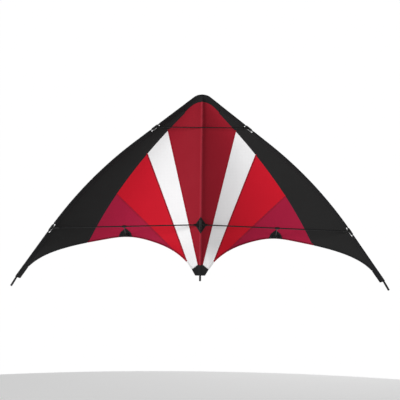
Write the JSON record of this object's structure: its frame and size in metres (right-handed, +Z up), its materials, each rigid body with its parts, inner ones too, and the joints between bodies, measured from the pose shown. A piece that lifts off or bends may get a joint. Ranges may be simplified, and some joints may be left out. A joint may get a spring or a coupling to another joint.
{
  "type": "two-line delta kite",
  "caption": "Two-line delta sport kite: panelled ripstop sail on a rod frame with folding wings, swinging lower spreaders, stand-offs and a lift-out upper spreader.",
  "frame": {"origin": "on the spine's axis at the centre cross, where the bridle's centre leg holds the kite", "axes": "+Z up the spine to the nose, +X to the right as the pilot sees it, +Y away from the pilot, the way the sail billows"},
  "size_m": [1.3046, 0.1124, 0.6665],
  "materials": {
    "dark_red_ripstop": "woven polyester ripstop, satin",
    "white_ripstop": "woven polyester ripstop, satin",
    "bright_red_ripstop": "woven polyester ripstop, satin",
    "crimson_ripstop": "woven polyester ripstop, satin",
    "black_ripstop": "woven polyester ripstop, satin",
    "black_webbing": "heavy woven reinforcement cloth, matt",
    "rod": "pultruded glass fibre rod, black, semi-gloss",
    "rubber": "moulded, matt",
    "cap": "moulded, fine texture"
  },
  "bodies": {
    "spine": {"spine_rod": "rod", "spine_sleeve_upper": "dark_red_ripstop", "spine_sleeve_lower": "dark_red_ripstop", "spine_nose_cap": "cap", "spine_tail_cap": "cap", "tail_pocket": "black_webbing", "centre_cross_hub": "rubber"},
    "upper_spreader_body": {"upper_spreader": "rod", "upper_spreader_caps": "cap"},
    "left_wing": {"centre_panel_left": "dark_red_ripstop", "white_panel_left": "white_ripstop", "bright_red_panel_left": "bright_red_ripstop", "crimson_panel_left": "crimson_ripstop", "leading_edge_panel_left": "black_ripstop", "centre_patch_left": "black_webbing", "standoff_patch_left": "black_webbing", "nose_half_left": "black_webbing", "leading_edge_rod_left": "rod", "leading_edge_sleeve_upper_left": "black_webbing", "leading_edge_sleeve_middle_left": "black_webbing", "leading_edge_sleeve_lower_left": "black_webbing", "wing_tip_pocket_left": "black_webbing", "wing_tip_cap_left": "cap", "connector_stop_rings_left": "rubber", "upper_connector_left": "rubber", "centre_cross_arm_left": "rubber", "standoff_socket_left": "cap"},
    "left_spreader": {"lower_spreader_left": "rod", "lower_connector_left": "rubber", "clip_stop_rings_left": "rubber"},
    "left_standoff": {"standoff_rod_left": "rod", "standoff_clip_left": "cap", "standoff_tip_left": "rubber"},
    "right_wing": {"centre_panel_right": "dark_red_ripstop", "white_panel_right": "white_ripstop", "bright_red_panel_right": "bright_red_ripstop", "crimson_panel_right": "crimson_ripstop", "leading_edge_panel_right": "black_ripstop", "centre_patch_right": "black_webbing", "standoff_patch_right": "black_webbing", "nose_half_right": "black_webbing", "leading_edge_rod_right": "rod", "leading_edge_sleeve_upper_right": "black_webbing", "leading_edge_sleeve_middle_right": "black_webbing", "leading_edge_sleeve_lower_right": "black_webbing", "wing_tip_pocket_right": "black_webbing", "wing_tip_cap_right": "cap", "connector_stop_rings_right": "rubber", "upper_connector_right": "rubber", "centre_cross_arm_right": "rubber", "standoff_socket_right": "cap"},
    "right_spreader": {"lower_spreader_right": "rod", "lower_connector_right": "rubber", "clip_stop_rings_right": "rubber"},
    "right_standoff": {"standoff_rod_right": "rod", "standoff_clip_right": "cap", "standoff_tip_right": "rubber"}
  },
  "joints": [
    {"name": "left_wing_fold", "type": "hinge", "parent": "spine", "child": "left_wing", "pos_m": [0, 0, 0], "axis": [0, 0, -1], "range_deg": [0, 50]},
    {"name": "left_spreader_swing", "type": "hinge", "parent": "left_wing", "child": "left_spreader", "pos_m": [-0.51373, 0, -0.01552], "axis": [-0.5764, 0, -0.8171], "range_deg": [0, 90]},
    {"name": "left_standoff_fold", "type": "hinge", "parent": "left_spreader", "child": "left_standoff", "pos_m": [-0.263, -0.003, -0.00722], "axis": [-0.9995, 0, -0.0332], "range_deg": [0, 100]},
    {"name": "right_wing_fold", "type": "hinge", "parent": "spine", "child": "right_wing", "pos_m": [0, 0, 0], "axis": [0, 0, 1], "range_deg": [0, 50]},
    {"name": "right_spreader_swing", "type": "hinge", "parent": "right_wing", "child": "right_spreader", "pos_m": [0.51373, 0, -0.01552], "axis": [-0.5764, 0, 0.8171], "range_deg": [0, 90]},
    {"name": "right_standoff_fold", "type": "hinge", "parent": "right_spreader", "child": "right_standoff", "pos_m": [0.263, -0.003, -0.00722], "axis": [-0.9995, 0, 0.0332], "range_deg": [0, 100]},
    {"name": "upper_spreader_release", "type": "slide", "parent": "spine", "child": "upper_spreader_body", "axis": [0, -1, 0], "range_m": [0, 0.06]}
  ]
}
